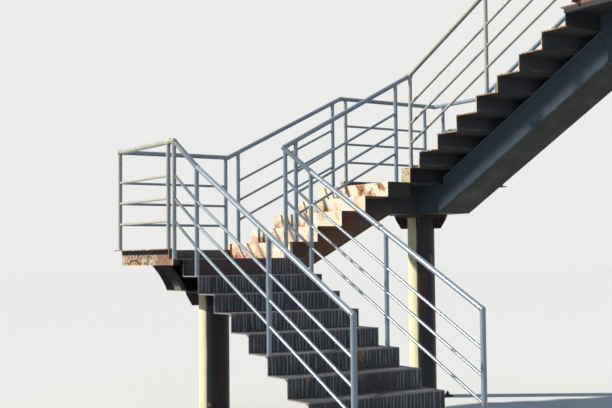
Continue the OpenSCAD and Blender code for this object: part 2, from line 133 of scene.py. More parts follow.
# ---------------------------------------------------------------- materials
class Surface:
    """One node material. Each method adds a node and gives its output; numbers, colours or outputs go in."""

    def __init__(self, name):
        self.mat = bpy.data.materials.new(name)
        self.mat.use_nodes = True
        self.tree = self.mat.node_tree
        self.tree.nodes.clear()
        self.here = self.add("ShaderNodeTexCoord").outputs["Object"]
        self.facing = self.add("ShaderNodeNewGeometry").outputs["True Normal"]
        self.x, self.y, self.z = (self.axis(i) for i in range(3))

    def add(self, kind, *values, **settings):
        """A node with its settings and the values of its first inputs."""
        node = self.tree.nodes.new(kind)
        for key, value in settings.items():
            setattr(node, key, value)
        for socket, value in zip(node.inputs, values):
            self.put(socket, value)
        return node

    def put(self, socket, value):
        if isinstance(value, bpy.types.NodeSocket):
            self.tree.links.new(value, socket)
        elif socket.type == "RGBA":
            socket.default_value = (*value, 1)
        else:
            socket.default_value = value

    def op(self, kind, a, b=0.0):
        return self.add("ShaderNodeMath", a, b, operation=kind).outputs[0]

    def plus(self, a, b):
        return self.op("ADD", a, b)

    def minus(self, a, b):
        return self.op("SUBTRACT", a, b)

    def times(self, *values):
        out = values[0]
        for v in values[1:]:
            out = self.op("MULTIPLY", out, v)
        return out

    def most(self, a, b):
        return self.op("MAXIMUM", a, b)

    def axis(self, i, of=None):
        return self.add("ShaderNodeSeparateXYZ", of or self.here).outputs[i]

    def noise(self, scale, detail=3, rough=0.6, stretch=(1, 1, 1), shift=0.0, warp=0.0):
        place = self.add("ShaderNodeMapping", self.here, (shift, shift * 1.7, shift * 0.6), (0, 0, 0), stretch)
        node = self.add("ShaderNodeTexNoise", place.outputs[0])
        for key, value in (("Scale", scale), ("Detail", detail), ("Roughness", rough), ("Distortion", warp)):
            self.put(node.inputs[key], value)
        return node.outputs["Fac"]

    def step(self, value, low, high):
        """0 below low, 1 above high, smooth between; low may be the larger."""
        flip = float(low > high)
        return self.add("ShaderNodeMapRange", value, min(low, high), max(low, high), flip, 1.0 - flip,
                        interpolation_type="SMOOTHSTEP").outputs[0]

    def mix(self, fac, a, b, kind="RGBA"):
        node = self.add("ShaderNodeMix", fac, data_type=kind)
        first, out = {"FLOAT": (2, 0), "RGBA": (6, 2)}[kind]
        self.put(node.inputs[first], a)
        self.put(node.inputs[first + 1], b)
        return node.outputs[out]

    def dot(self, a, b):
        return self.add("ShaderNodeVectorMath", a, b, operation="DOT_PRODUCT").outputs["Value"]

    def towards(self, direction, low=0.3, high=0.8):
        """1 on faces turned to a direction."""
        return self.step(self.dot(self.facing, Vector(direction).normalized()), low, high)

    def edges(self, radius=0.006):
        """1 along sharp edges."""
        return self.step(self.dot(self.rounded(radius), self.facing), 0.995, 0.85)

    def rounded(self, radius):
        return self.add("ShaderNodeBevel", radius, samples=4).outputs[0]

    def corners(self, reach=0.05):
        """1 in inner corners and against other pieces."""
        node = self.add("ShaderNodeAmbientOcclusion", (1, 1, 1), reach, samples=6)
        return self.step(node.outputs["AO"], 0.85, 0.25)

    def runs(self, across, pitch=0.035, shift=0.0):
        """Long vertical runs of lime and dirt at about one pitch, 0 to 1."""
        wander = self.noise(1.0, 3, 0.6, stretch=(9, 9, 1.1), shift=shift)
        phase = self.plus(self.times(across, 2 * math.pi / pitch), self.times(wander, 16.0))
        wave = self.step(self.op("SINE", phase), -0.25, 0.85)
        fine = self.step(self.noise(1.0, 4, 0.7, stretch=(34, 34, 2.4), shift=shift + 2), 0.34, 0.60)
        return self.times(wave, fine)

    def cheques(self, across, along):
        """The lozenges of the chequer plate, as a mask; the same grid as the raised ones."""
        a, b = (self.op("DIVIDE", way, CHEQUE_PITCH * math.sqrt(2))
                for way in (self.plus(across, along), self.minus(across, along)))
        odd = self.op("ABSOLUTE", self.op("MODULO", self.plus(self.op("FLOOR", a), self.op("FLOOR", b)), 2))
        fa, fb = (self.op("ABSOLUTE", self.minus(self.op("FRACT", way), 0.5)) for way in (a, b))
        wide = self.plus(self.times(fa, 2.3), self.times(fb, 6.0))
        tall = self.plus(self.times(fa, 6.0), self.times(fb, 2.3))
        return self.step(self.mix(odd, wide, tall, "FLOAT"), 1.35, 0.8)

    def finish(self, colour, rough, height, depth=0.002, gloss=0.25, rounding=0.004):
        """Closes the material with a shader whose edges look rounded."""
        shader, bump = self.add("ShaderNodeBsdfPrincipled"), self.add("ShaderNodeBump")
        for node, key, value in ((shader, "Base Color", colour), (shader, "Roughness", rough),
                                 (shader, "Specular IOR Level", gloss), (bump, "Strength", 1.0),
                                 (bump, "Distance", depth), (bump, "Height", height)):
            self.put(node.inputs[key], value)
        if rounding:
            self.put(bump.inputs["Normal"], self.rounded(rounding))
        self.put(shader.inputs["Normal"], bump.outputs[0])
        self.add("ShaderNodeOutputMaterial", shader.outputs[0])
        return self.mat


RUST, RUST_DARK, RUST_PALE = (0.25, 0.085, 0.030), (0.060, 0.025, 0.016), (0.50, 0.25, 0.11)
# CREAM_DEEP is the painted light on the left ends of the top flight
CREAM, CREAM_DEEP = (0.76, 0.68, 0.50), (0.66, 0.53, 0.33)
LIME = (0.400, 0.445, 0.460)


def rusted(s, colour, amount, shift=0.0, scale=3.2, reach=0.5, mask=None, strength=1.0):
    """Adds rust patches with a pale rim, rust in the corners and on worn edges. Returns colour and rust mask."""
    field = s.noise(scale, 7, 0.68, shift=shift, warp=0.4)
    field = s.plus(field, s.times(s.corners(), 0.16 * reach))
    field = s.plus(field, s.times(s.edges(), 0.13 * reach))
    if mask is not None:
        field = s.plus(field, s.times(mask, 0.12))
    edge = 0.66 - amount * 0.22
    pale = s.step(field, edge - 0.035, edge)
    core = s.step(field, edge + 0.01, edge + 0.06)
    deep = s.step(field, edge + 0.06, edge + 0.16)
    colour = s.mix(s.times(pale, 0.85, strength), colour, RUST_PALE)
    tone = s.mix(s.noise(38, 4, 0.7, shift=shift + 3), RUST, (0.36, 0.15, 0.06))
    colour = s.mix(s.times(core, strength), colour, tone)
    return s.mix(s.times(deep, 0.8, strength), colour, RUST_DARK), core


def grained(s, scale, weight, rust, flakes=50, rough=0.7):
    """Height of a finish: a fine grain all over, and flakes where the rust mask is."""
    return s.plus(s.times(s.noise(scale, 3, rough), weight), s.times(rust, s.noise(flakes, 4, 0.7)))


def rail_material(name="rail_paint", worn=0.0):
    s = Surface(name)
    paint = s.mix(s.noise(1.1, 3, 0.5), (0.205, 0.300, 0.420), (0.315, 0.405, 0.505))
    paint = s.mix(s.times(s.step(s.noise(24, 4, 0.7, shift=2), 0.45, 0.75), 0.35), paint, (0.165, 0.225, 0.30))
    # painted light: a warm cream on the rail faces turned to the key light, on landing 1's left rails and the near
    # rails of the top flight
    painted_sun_warmth = s.most(s.step(s.x, -0.70, -0.73), s.times(s.step(s.x, 1.90, 1.96), s.step(s.x, 2.20, 2.14)))
    painted_sun_warmth = s.times(painted_sun_warmth, s.towards((-1, 0.2, 0.2), 0.1, 0.7), s.step(s.noise(5, 3, shift=6), 0.28, 0.50))
    paint = s.mix(s.times(painted_sun_warmth, 0.75), paint, (0.66, 0.60, 0.45))
    spots = s.step(s.noise(46, 5, 0.7, shift=5), 0.66, 0.70)
    zones = s.step(s.noise(2.6, 2, 0.5, shift=8), 0.50, 0.62)
    near = s.corners(0.045)
    wear = s.plus(s.noise(60, 4, 0.65, shift=4), s.times(near, 0.18))
    chip = s.times(s.step(s.plus(wear, worn), 0.62, 0.66), s.most(s.most(near, zones), 1.0 if worn else 0.0))
    chip = s.most(s.times(spots, zones), chip)
    colour = s.mix(chip, paint, (0.56, 0.43, 0.27))
    core = s.times(chip, s.step(s.noise(85, 3, 0.6, shift=9), 0.46, 0.56))
    colour = s.mix(core, colour, RUST)
    rough = s.plus(s.times(chip, 0.35), s.step(s.noise(9, 3), -0.6, 1.6))
    height = s.minus(s.times(s.noise(70, 3), 0.25), s.times(chip, 0.5))
    return s.finish(colour, s.times(rough, 0.46), height, 0.0004, 0.8, 0.0)


def step_material(look):
    """The folded chequer-plate steps of flight a, b or c."""
    s = Surface("step_plate_" + look)
    x, y, z = s.x, s.y, s.z
    front, u, v = {"a": (NEAR, x, s.plus(z, y)), "b": (LEFT, y, s.plus(z, x)),
                   "c": (FAR, x, s.minus(z, y))}[look]
    outer = s.most(s.towards(front), s.towards(UP))
    lozenge = s.times(s.cheques(u, v), outer)
    rise = s.op("FRACT", s.op("DIVIDE", z, RISER))
    nosing = s.step(rise, 0.925, 0.95)
    top = s.towards(UP)
    if look == "a":
        base = s.mix(s.noise(2.2, 4, 0.6), (0.058, 0.060, 0.074), (0.095, 0.085, 0.098))
        bands = s.times(s.runs(u, 0.035, 1.0), s.step(s.noise(2.0, 2, shift=7), 0.25, 0.50))
        base = s.mix(s.times(bands, 0.80), base, LIME)
        base = s.mix(s.times(lozenge, 0.20), base, (0.160, 0.160, 0.170))
        colour, rust = rusted(s, base, 0.02, 3.0, 4.5, 0.6)
        # painted highlight: a pale line along each nosing
        nosing_highlight = s.times(nosing, s.step(s.noise(30, 3), 0.25, 0.45))
        colour = s.mix(s.times(nosing_highlight, 0.85), colour, (0.33, 0.31, 0.36))
    elif look == "b":
        # painted light and shade: cream only on the faces turned to the key light, dark brown on all the others
        painted_sunlit_faces = s.towards(front, 0.2, 0.7)
        base = s.mix(s.noise(5, 4, 0.6), (0.86, 0.80, 0.64), (0.90, 0.88, 0.80))
        rim = s.times(lozenge, s.step(s.noise(9, 3, shift=2), 0.30, 0.55))
        base = s.mix(s.times(rim, 0.28), base, (0.55, 0.40, 0.25))
        low = s.times(s.step(rise, 0.85, 0.15), s.step(s.plus(y, s.times(z, 0.2)), -0.10, 0.75))
        warm = s.plus(s.noise(3.4, 6, 0.62, shift=3, warp=0.5), s.times(low, 0.12))
        warm = s.step(s.plus(warm, s.times(x, -0.05)), 0.485, 0.565)
        tan = s.mix(s.noise(16, 4, 0.7), (0.72, 0.42, 0.20), (0.84, 0.62, 0.40))
        base = s.mix(s.times(warm, 0.80), base, tan)
        lit, rust = rusted(s, base, 0.10, 6.0, 4.4, 0.6, low, 0.8)
        # painted shade: the dark brown of the faces turned away from the key light
        dark = s.mix(s.noise(4, 4), (0.085, 0.042, 0.030), (0.150, 0.075, 0.046))
        colour = s.mix(painted_sunlit_faces, dark, lit)
    else:
        painted_sunlit_faces = s.towards(LEFT, 0.2, 0.7)
        base = s.mix(s.noise(3, 4), (0.055, 0.062, 0.074), (0.085, 0.090, 0.105))
        stain = s.times(s.step(rise, 0.30, 0.02), s.step(s.noise(3.2, 4, 0.6, shift=6), 0.42, 0.62),
                        s.step(x, 3.0, 2.3))
        base = s.mix(s.times(stain, 0.8), base, (0.230, 0.185, 0.180))
        colour, rust = rusted(s, base, -0.45, 9.0, 5.0, 0.7)
        worn = s.times(top, s.step(s.noise(14, 5, 0.7), 0.40, 0.58))
        colour = s.mix(s.times(worn, 0.7), colour, (0.12, 0.065, 0.045))
        rim = s.times(s.step(x, XC0 + 0.05, XC0 + 0.015), s.step(s.noise(26, 5, 0.7, shift=4), 0.36, 0.50))
        colour = s.mix(s.times(rim, s.step(rise, 0.80, 0.9)), colour, (0.36, 0.13, 0.05))
        # painted light: cream on the faces turned to the key light
        colour = s.mix(s.times(painted_sunlit_faces, s.step(s.noise(30, 4, shift=2), 0.3, 0.5)), colour, CREAM_DEEP)
    rough = s.plus(s.times(rust, 0.25), 0.58)
    return s.finish(colour, rough, grained(s, 120, 0.22, rust, 60), 0.0014, 0.2)


def girder_material(name, base, base2, sheen, amount, shift, low_edge, soffit, warm=None, banding=0.2):
    """Smooth dark paint of a box stringer.

    low_edge is the underside line that a painted sheen follows: (axis, slope, level at 0, ends of the sheen, ends of
    the painted highlight along the top). warm is a stretch along X that has turned to rust: (two colours, from, to,
    to, from).
    """
    s = Surface(name)
    colour = s.mix(s.noise(1.4, 4, 0.55, shift=shift), base, base2)
    if warm:
        brown = s.mix(s.noise(2.2, 5, 0.6, shift=shift + 6), warm[0], warm[1])
        colour = s.mix(s.times(s.step(s.x, warm[2], warm[3]), s.step(s.x, warm[5], warm[4])), colour, brown)
    wash = s.step(s.noise(1.0, 3, 0.6, stretch=(12, 12, 1.2), shift=shift), 0.46, 0.70)
    colour = s.mix(s.times(wash, banding), colour, tuple(0.6 * a + 0.4 * b for a, b in zip(base2, sheen)))
    axis, slope, level, band_ends, highlight_ends = low_edge
    run = (s.x, s.y)[axis]
    over = s.minus(s.z, s.plus(s.times(run, slope), level))
    side = s.towards(UP, 0.5, 0.1)

    def between(ends):
        return s.times(s.step(run, ends[0] - 0.02, ends[0]), s.step(run, ends[1] + 0.02, ends[1]))

    # painted sheen: a painted reflection in a band along the lower edge of the side faces
    band = s.times(s.step(over, 0.170, 0.030), s.step(over, 0.004, 0.016), between(band_ends))
    glow = s.times(band, side, s.step(s.noise(2.0, 4, 0.6, shift=shift + 4), 0.28, 0.52))
    colour = s.mix(s.times(glow, 0.85), colour, sheen)
    # painted highlight: a pale line along the top of the side faces
    rim = s.times(s.step(over, 0.328, 0.338), side, between(highlight_ends))
    colour = s.mix(s.times(rim, 0.6), colour, sheen)
    colour = s.mix(s.towards(DOWN, 0.5, 0.8), colour, soffit)
    if warm:
        end = s.times(s.towards((-1, 0, -0.3), 0.5, 0.7), s.step(s.x, -0.2, -0.3))
        low = s.minus(s.z, Z1 - GIRDER)
        # painted shade: near black on everything under landing 1
        colour = s.mix(s.step(s.x, -0.15, -0.33), colour, (0.006, 0.007, 0.008))
        # painted light: a pale patch of sunlight on the haunch's end face
        patch = s.times(end, s.step(low, 0.130, 0.030),
                        s.step(s.op("ABSOLUTE", s.plus(s.y, s.plus(0.040, s.times(low, 0.15)))), 0.085, 0.055))
        colour = s.mix(s.times(patch, 0.9), colour, (0.30, 0.29, 0.26))
        colour = s.mix(s.times(end, s.step(s.y, 0.204, 0.210), 0.6), colour, (0.34, 0.36, 0.36))
        # painted highlight: an olive-yellow line along the bottom edge of the end
        colour = s.mix(s.times(end, s.step(low, 0.012, 0.004), 0.9), colour, (0.36, 0.34, 0.16))
    colour, rust = rusted(s, colour, amount, shift, 3.0, 0.5, None, s.step(s.x, -0.25, 0.0) if warm else 1.0)
    rough = s.plus(s.times(rust, 0.35), s.step(s.noise(5, 3, shift=shift), -1.2, 1.9))
    # less gloss under landing 1 keeps the painted shade dark
    gloss = s.minus(0.2, s.times(s.step(s.x, -0.15, -0.35), 0.17)) if warm else 0.2
    return s.finish(colour, rough, grained(s, 90, 0.12, rust), 0.0014, gloss)


def weathered_fascia(s):
    """Cream paint with fine dark crackle; landing 1 has a salmon patch at its near end and an arch of rust."""
    base = s.mix(s.noise(5, 4), (0.58, 0.47, 0.30), (0.68, 0.63, 0.46))
    crack = s.step(s.noise(22, 6, 0.76, shift=4, warp=0.9), 0.475, 0.53)
    patches = s.step(s.noise(4.5, 3, shift=9), 0.40, 0.55)
    colour = s.mix(s.times(crack, s.plus(s.times(patches, 0.45), 0.50)), base, (0.050, 0.034, 0.026))
    salmon = s.step(s.plus(s.y, s.times(s.noise(9, 4, shift=3), 0.22)), -0.04, -0.11)
    salmon = s.times(salmon, s.step(s.y, -0.64, -0.585), s.step(s.x, 0.0, -0.5))
    pink = s.mix(s.step(s.noise(22, 5, 0.7, shift=5), 0.42, 0.62), (0.34, 0.175, 0.120), (0.21, 0.100, 0.065))
    colour = s.mix(s.times(salmon, 0.85), colour, pink)
    arch = s.op("SQRT", s.plus(s.op("POWER", s.minus(s.y, 0.30), 2.0),
                               s.op("POWER", s.times(s.minus(s.z, Z1 - EDGE_DEPTH - 0.01), 2.5), 2.0)))
    arch = s.plus(arch, s.times(s.minus(s.noise(12, 5), 0.5), 0.15))
    landing_1 = s.step(s.x, 0.0, -0.5)
    colour = s.mix(s.times(s.step(arch, 0.165, 0.145), landing_1), colour, (0.050, 0.026, 0.016))
    return s.mix(s.times(s.step(arch, 0.130, 0.110), landing_1), colour, (0.60, 0.27, 0.12))


def deck_material(name, look, shift):
    """Chequer plate deck and its edge beams. look is 1, 2 or 3, the landing."""
    s = Surface(name)
    x, y, z = s.x, s.y, s.z
    front, left = s.towards(NEAR), s.towards(LEFT, 0.2, 0.7)
    low, high = {1: ((0.100, 0.064, 0.070), (0.150, 0.098, 0.098)),
                 2: ((0.036, 0.036, 0.040), (0.062, 0.056, 0.056)),
                 3: ((0.038, 0.040, 0.046), (0.060, 0.060, 0.068))}[look]
    base = s.mix(s.noise(2.4, 4, 0.6, shift=shift), low, high)
    if look == 1:
        bands = s.times(s.runs(x, 0.035, shift + 1), s.step(x, 0.15, 0.33))
        base = s.mix(s.times(bands, front, 0.8), base, LIME)
        pale = weathered_fascia(s)
        # painted shade: near black on the faces at landing 1's left end
        base = s.mix(s.step(x, -0.60, -0.66), base, (0.020, 0.022, 0.024))
        rust_on, reach = -0.20, 0.3
    else:
        # left faces: painted light on landing 2, cream where the key light falls; painted shade on landing 3, dark
        # although the key light falls on it
        ends = {2: ((0.82, 0.78, 0.64), (0.88, 0.87, 0.78)), 3: ((0.026, 0.030, 0.038), (0.044, 0.046, 0.054))}
        pale = s.mix(s.noise(6, 4, shift=shift), *ends[look])
        if look == 2:
            pale = s.mix(s.times(s.cheques(y, s.plus(x, z)), 0.3), pale, (0.50, 0.38, 0.24))
        else:
            rim = s.times(s.step(z, Z3 - 0.016, Z3 - 0.010), s.step(s.noise(26, 5, 0.7, shift=4), 0.36, 0.50))
            pale = s.mix(rim, pale, (0.36, 0.13, 0.05))
        rust_on, reach = {2: -0.08, 3: -0.30}[look], 0.5
    base = s.mix(left, base, pale)
    colour, rust = rusted(s, base, rust_on, shift, 4.2, reach, left if look == 2 else None)
    if look == 1:
        # painted shade: near black on the end plate's faces that are not turned left or up
        end = s.times(s.step(x, -0.670, -0.680), s.minus(1.0, left), s.towards(UP, 0.8, 0.5))
        colour = s.mix(end, colour, (0.018, 0.020, 0.022))
    top = s.step(s.op("FRACT", s.op("DIVIDE", z, RISER)), 0.93, 0.955)
    # painted highlight: a pale line along each front nosing
    nosing_highlight = (0.33, 0.29, 0.31) if look == 1 else (0.10, 0.085, 0.075)
    colour = s.mix(s.times(top, front, 0.8), colour, nosing_highlight)
    rough = s.plus(s.times(rust, 0.25), 0.60)
    return s.finish(colour, rough, grained(s, 110, 0.2, rust, 55), 0.0014, 0.2)


def kerb_material():
    s = Surface("kerb_paint")
    colour = weathered_fascia(s)
    crack = s.step(s.noise(17, 6, 0.74, shift=4, warp=0.8), 0.50, 0.55)
    over = s.minus(s.z, Z1)
    # painted shadow: the shadow of the top flange on the web below it
    flange_shadow = s.times(s.step(over, KERB - 0.060, KERB - 0.050), s.towards(LEFT), s.step(s.x, -0.60, -0.70))
    flange_shadow = s.times(flange_shadow, s.step(s.x, -EDGE_L - 0.03, -EDGE_L - 0.01))
    # painted shade: the faces turned towards −Y go grey-green
    near_face_shade = s.mix(s.noise(7, 4), (0.085, 0.095, 0.085), (0.19, 0.21, 0.20))
    colour = s.mix(s.times(s.towards(NEAR), 0.9), colour, near_face_shade)
    # painted shade: near black in the corners and recesses
    colour = s.mix(s.times(s.corners(0.12), 0.9), colour, (0.035, 0.033, 0.032))
    colour = s.mix(s.towards(UP), colour, s.mix(s.noise(12, 4, shift=8), CREAM, (0.80, 0.76, 0.52)))
    colour, rust = rusted(s, colour, 0.10, 14.0, 4.2, 0.5)
    # the painted flange shadow
    colour = s.mix(s.times(flange_shadow, 0.97), colour, (0.014, 0.015, 0.016))
    rough = s.plus(s.times(rust, 0.25), 0.60)
    return s.finish(colour, rough, grained(s, 90, 0.15, s.most(rust, crack), 55, 0.6), 0.0016, 0.2)


def column_material(name, plates):
    """Cream on the side turned to the key light as painted light, near-black painted shade on the other side, rust
    runs below the head.
    """
    s = Surface(name)
    side = s.plus(s.axis(0, s.facing), s.times(s.axis(1, s.facing), -1.16))
    side = s.plus(side, s.times(s.noise(5, 4, 0.6, shift=2), 0.20))
    # painted shade: the dark side of the column; the heads' own dark paint replaces it
    dark = s.mix(s.noise(1.6, 4), (0.024, 0.029, 0.038), (0.040, 0.042, 0.052))
    if plates:
        dark = s.mix(s.noise(2.0, 3), (0.028, 0.017, 0.017), (0.050, 0.030, 0.027))
        # painted highlight: olive-yellow lines along the plate edges
        rim = s.step(s.noise(3, 3), 0.3, 0.6)
        colour = s.mix(s.times(s.edges(0.010), rim), dark, (0.24, 0.21, 0.10))
    else:
        # painted light and shade: cream where the faces turn to the key light, dark elsewhere
        sunlit_side = s.step(side, -0.05, -0.30)
        cream = s.mix(s.noise(3, 4, stretch=(1, 1, 0.2)), (0.88, 0.85, 0.56), (0.92, 0.90, 0.70))
        red = s.times(s.step(s.noise(1.0, 3, 0.6, stretch=(16, 16, 0.7), shift=4), 0.50, 0.66), 0.7)
        dark = s.mix(red, dark, (0.115, 0.050, 0.040))
        colour = s.mix(sunlit_side, dark, cream)
    colour, rust = rusted(s, colour, 0.05, 17.0, 2.6, 0.6)
    rough = s.plus(s.times(rust, 0.3), 0.52)
    return s.finish(colour, rough, grained(s, 80, 0.15, rust, 50, 0.6), 0.0016, 0.22)


def metal_material(name, tone, tone2, rust_amount, rough=0.55, depth=0.0006):
    """Weld beads, nuts, washers and rust scale."""
    s = Surface(name)
    base = s.mix(s.noise(30, 3), tone, tone2)
    field = s.step(s.noise(22, 5, 0.7, shift=3), 0.62 - 0.25 * rust_amount, 0.70 - 0.25 * rust_amount)
    colour = s.mix(field, base, s.mix(s.noise(60, 3), RUST, RUST_PALE))
    return s.finish(colour, s.plus(s.times(field, 0.25), rough), s.noise(160, 3), depth, 0.25, 0.0)


LINE_A = (1, SLOPE, RISER - a_y(1) * SLOPE - BOX_DROP, (a_y(1), a_y(1) + under(Z1 - GIRDER)), (a_y(1), -YB))
LINE_B = (0, SLOPE, Z1 + RISER - XB1 * SLOPE - BOX_DROP,
          (XB1 + under(-GIRDER), XB1 + under(Z2 - Z1 - GIRDER)), (XB1 + INSET, XL2))
LINE_C = (1, -SLOPE, Z2 + RISER + YC1 * SLOPE - BOX_DROP,
          (YC1 - under(Z3 - Z2 - GIRDER_TOP), YC1 - under(-GIRDER)), (YL3, YC1 - INSET))
finishes = {
    "rail": rail_material(),
    **{"step_" + flight: step_material(flight) for flight in "abc"},
    "stringer_a": girder_material(
        "stringer_a_paint", (0.042, 0.048, 0.062), (0.062, 0.070, 0.088), (0.150, 0.190, 0.240), 0.04, 2, LINE_A,
        (0.040, 0.042, 0.040)),
    "stringer_b": girder_material(
        "stringer_b_paint", (0.060, 0.065, 0.080), (0.088, 0.093, 0.108), (0.210, 0.145, 0.105), 0.04, 5, LINE_B,
        (0.032, 0.026, 0.023), ((0.180, 0.083, 0.050), (0.350, 0.175, 0.100), -0.10, 0.30, 1.45, 1.95), 0.3),
    "stringer_c": girder_material(
        "stringer_c_paint", (0.080, 0.112, 0.152), (0.118, 0.160, 0.214), (0.460, 0.600, 0.700), -0.30, 8, LINE_C,
        (0.036, 0.042, 0.037), None, 0.0),
    "deck_1": deck_material("deck_1_paint", 1, 12),
    "deck_2": deck_material("deck_2_paint", 2, 15),
    "deck_3": deck_material("deck_3_paint", 3, 18),
    "kerb": kerb_material(),
    "column": column_material("column_paint", False),
    "head": column_material("head_paint", True),
}
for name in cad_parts:
    key = next(k for k in sorted(finishes, key=len, reverse=True) if name.startswith(k))
    obj = bpy.data.objects[name]
    for slot in obj.material_slots:
        slot.material = finishes[key]
weld_rail = rail_material("rail_weld", 0.10)
weld_dark = metal_material("weld_dark", (0.024, 0.026, 0.032), (0.052, 0.046, 0.044), 0.25, 0.65)
weld_cream = metal_material("weld_cream", (0.42, 0.36, 0.24), (0.60, 0.52, 0.36), 0.55, 0.65)
steel_grey = metal_material("bolt_steel", (0.13, 0.13, 0.14), (0.22, 0.21, 0.20), 0.55, 0.45)
scale_rust = metal_material("rust_scale", (0.17, 0.060, 0.028), (0.34, 0.135, 0.055), 0.30, 0.80, 0.0012)


# ---------------------------------------------------------------- detail pieces
def axes_of(axis):
    """The axis as a unit vector, and two more that stand square on it."""
    axis = Vector(axis).normalized()
    one = axis.orthogonal().normalized()
    return axis, one, axis.cross(one)


def turn_by(t, one, two):
    return one * math.cos(t) + two * math.sin(t)


class Detail:
    """Gathers the faces of one detail piece, in world coordinates."""

    def __init__(self):
        self.verts, self.faces = [], []

    def put(self, verts, faces):
        n = len(self.verts)
        self.verts += [tuple(v) for v in verts]
        self.faces += [tuple(n + i for i in f) for f in faces]

    def bead(self, path, r, rough=0.35, sides=6, loop=False):
        """A lumpy weld along a path of points."""
        count, side, verts, faces = len(path), None, [], []
        for i, p in enumerate(path):
            a = path[i - 1] if i or loop else p
            b = path[(i + 1) % count] if i < count - 1 or loop else p
            d = (b - a).normalized()
            side = d.orthogonal() if side is None else side
            side = (side - d * side.dot(d)).normalized()
            other = d.cross(side)
            swell = r * (1 + rough * (rng.random() - 0.5)) * (1.0 if loop or 0 < i < count - 1 else 0.4)
            for j in range(sides):
                t = 2 * math.pi * j / sides
                lump = swell * (1 + rough * 0.3 * (rng.random() - 0.5))
                verts.append(p + turn_by(t, side, other) * lump)
        for i in range(count if loop else count - 1):
            for j in range(sides):
                k, m = (i + 1) % count, (j + 1) % sides
                faces.append((i * sides + j, i * sides + m, k * sides + m, k * sides + j))
        if not loop:
            faces += [tuple(range(sides))[::-1], tuple(range((count - 1) * sides, count * sides))]
        self.put(verts, faces)

    def seam(self, points, r, rough=0.5, pitch=0.007, sides=6):
        """A bead along straight runs between points."""
        path = [points[0]]
        for a, b in zip(points, points[1:]):
            n = max(2, round((b - a).length / pitch))
            path += [a.lerp(b, i / n) for i in range(1, n + 1)]
        self.bead(path, r, rough, sides)

    def across(self, place, u, z, v0, v1, r, pitch=0.010):
        """A bead across a flight, from v0 to v1."""
        self.seam([place(u, v0, z), place(u, v1, z)], r, pitch=pitch)

    def ring(self, at, axis, radius, r, rough=0.4, sides=6):
        axis, one, two = axes_of(axis)
        n = max(14, round(2 * math.pi * radius / 0.0055))
        self.bead([at + turn_by(2 * math.pi * i / n, one, two) * radius for i in range(n)], r, rough, sides, True)

    def turned(self, at, axis, profile, sides, turn=0.0):
        """A turned or hexagonal form from (radius, height) pairs along an axis."""
        axis, one, two = axes_of(axis)
        verts = [at + axis * h + turn_by(turn + 2 * math.pi * j / sides, one, two) * r
                 for r, h in profile for j in range(sides)]
        faces = [(i * sides + j, i * sides + (j + 1) % sides, (i + 1) * sides + (j + 1) % sides, (i + 1) * sides + j)
                 for i in range(len(profile) - 1) for j in range(sides)]
        last = (len(profile) - 1) * sides
        self.put(verts, faces + [tuple(range(sides))[::-1], tuple(range(last, last + sides))])

    def bolt(self, at, d):
        """Anchor stud through a plate with a washer and a hexagonal nut; at is on top of the plate."""
        up = Vector(UP)
        thick = 0.0035
        self.turned(at, up, [(d * 0.9, 0), (d * 0.93, 0.0008), (d * 0.93, thick - 0.0008), (d * 0.9, thick)], 28)
        r = d * 0.866
        nut = [(r * 0.90, 0), (r, 0.0022), (r, 0.78 * d), (r * 0.90, 0.78 * d + 0.0022)]
        self.turned(at + up * thick, up, nut, 6, rng.random() * 2)
        top, n = thick + 0.78 * d + 0.016, 10
        thread = [(d * (0.5 if i % 2 else 0.455), top - 0.016 + 0.0016 * i) for i in range(n)]
        self.turned(at, up, [(d * 0.5, -0.012), (d * 0.5, top - 0.017)] + thread + [(d * 0.40, top)], 18)

    def flake(self, at, normal, r, h):
        """A blister of rust scale on a face."""
        normal, one, two = axes_of(normal)
        n = 7
        verts = []
        for part, lift in ((1.0, 0.0002), (0.62, 0.8)):
            for j in range(n):
                t = 2 * math.pi * j / n
                size = r * part * (0.6 + 0.6 * rng.random())
                rise = lift * (h * (0.6 + 0.5 * rng.random()) if part < 1 else 1)
                verts.append(at + turn_by(t, one, two) * size + normal * rise)
        verts.append(at + normal * h)
        self.put(verts, [(j, (j + 1) % n, n + (j + 1) % n, n + j) for j in range(n)]
                 + [(n + j, n + (j + 1) % n, 2 * n) for j in range(n)])

    def cheques(self, across, along, place):
        """Raised lozenges over a patch; place puts (across, along, height) in the world."""
        g, edge = CHEQUE_PITCH / math.sqrt(2), 0.012
        t = CHEQUE_LONG / math.sqrt(2), CHEQUE_WIDE / math.sqrt(2)
        up = place(0, 0, 1) - place(0, 0, 0)
        for m in range(math.ceil((across[0] + edge) / g), math.floor((across[1] - edge) / g) + 1):
            for n in range(math.ceil((along[0] + edge) / g), math.floor((along[1] - edge) / g) + 1):
                if (m + n) % 2 == 0:
                    continue
                s = 1 if m % 2 else -1
                c = (m * g, n * g)
                flat = [(t[0], s * t[0]), (t[1], -s * t[1]), (-t[0], -s * t[0]), (-t[1], s * t[1])]
                verts = [place(c[0] + p, c[1] + q, 0) for p, q in flat]
                verts += [place(c[0] + k * t[0], c[1] + k * s * t[0], CHEQUE_H) for k in (0.55, -0.55)]
                faces = [(0, 1, 4), (1, 5, 4), (1, 2, 5), (2, 3, 5), (3, 4, 5), (3, 0, 4)]
                if (verts[1] - verts[0]).cross(verts[4] - verts[0]).dot(up) < 0:
                    faces = [f[::-1] for f in faces]
                self.put(verts, faces)

    def done(self, name, material, smooth=True):
        mesh = bpy.data.meshes.new(name)
        mesh.from_pydata(self.verts, [], self.faces)
        if smooth:
            mesh.shade_smooth()
        obj = shown(name, mesh)
        mesh.materials.append(material)
        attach(obj, "root")
        return obj


